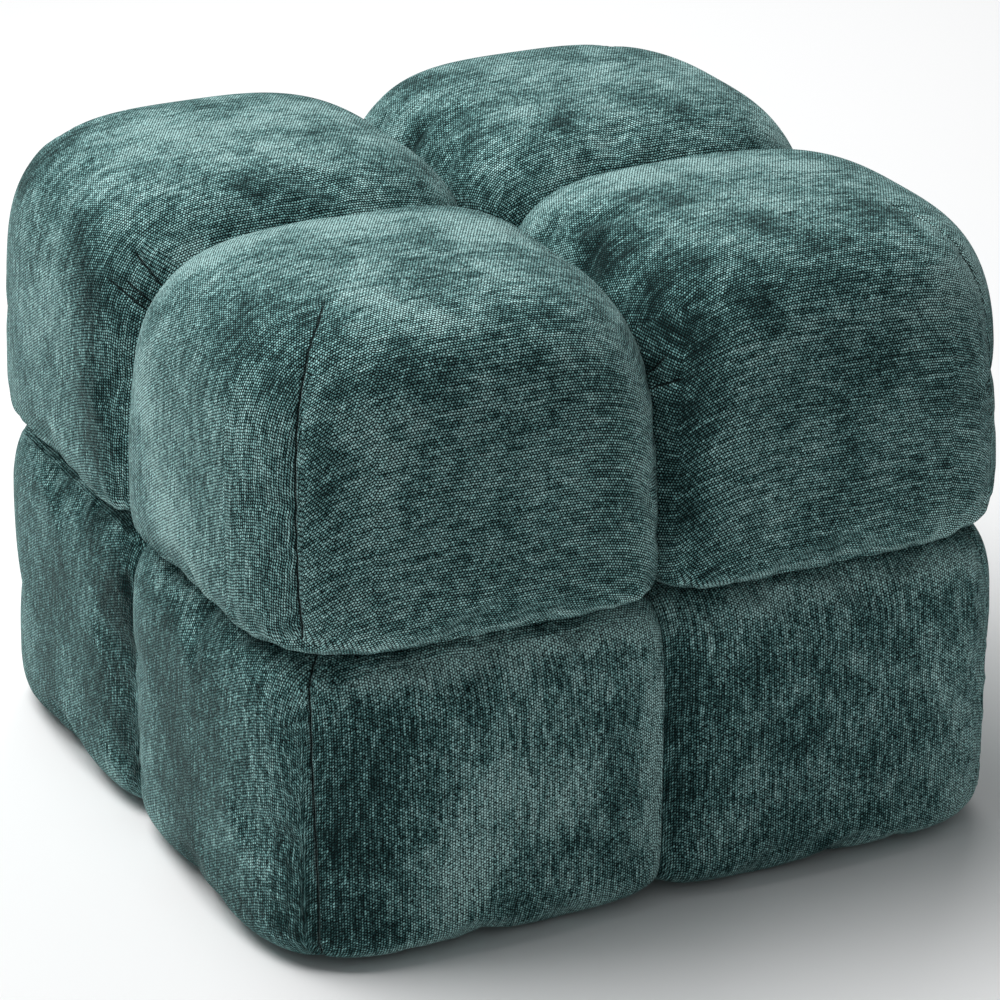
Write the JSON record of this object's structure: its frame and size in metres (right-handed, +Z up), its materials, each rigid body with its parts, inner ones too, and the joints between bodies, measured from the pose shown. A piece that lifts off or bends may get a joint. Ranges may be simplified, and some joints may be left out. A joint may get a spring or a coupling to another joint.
{
  "type": "storage footstool",
  "caption": "Square upholstered footstool with a padded lift-off lid of deep rounded puffs over a padded box base for storage.",
  "frame": {"origin": "on the ground, under the middle of the footstool", "axes": "+Z up, +X to the right and -Y to the front of the footstool, which is alike on all four sides"},
  "size_m": [0.6, 0.596, 0.477],
  "materials": {
    "cover": "teal-green woven chenille with a brushed, mottled pile, matt with a soft sheen",
    "board": "plain birch board, sanded and unpainted"
  },
  "bodies": {
    "base": {"base_pad_front_left": "cover", "base_pad_front_right": "cover", "base_pad_right_front": "cover", "base_pad_right_back": "cover", "base_pad_back_right": "cover", "base_pad_back_left": "cover", "base_pad_left_back": "cover", "base_pad_left_front": "cover", "well_wall_front": "board", "well_wall_back": "board", "well_wall_left": "board", "well_wall_right": "board", "well_floor": "board"},
    "lid": {"lid_puff_front_left": "cover", "lid_puff_front_right": "cover", "lid_puff_back_left": "cover", "lid_puff_back_right": "cover", "lid_board": "board", "lid_locator": "board"}
  },
  "joints": [
    {"name": "lid_lift", "type": "slide", "parent": "base", "child": "lid", "axis": [0, 0, 1], "range_m": [0, 0.3]}
  ]
}
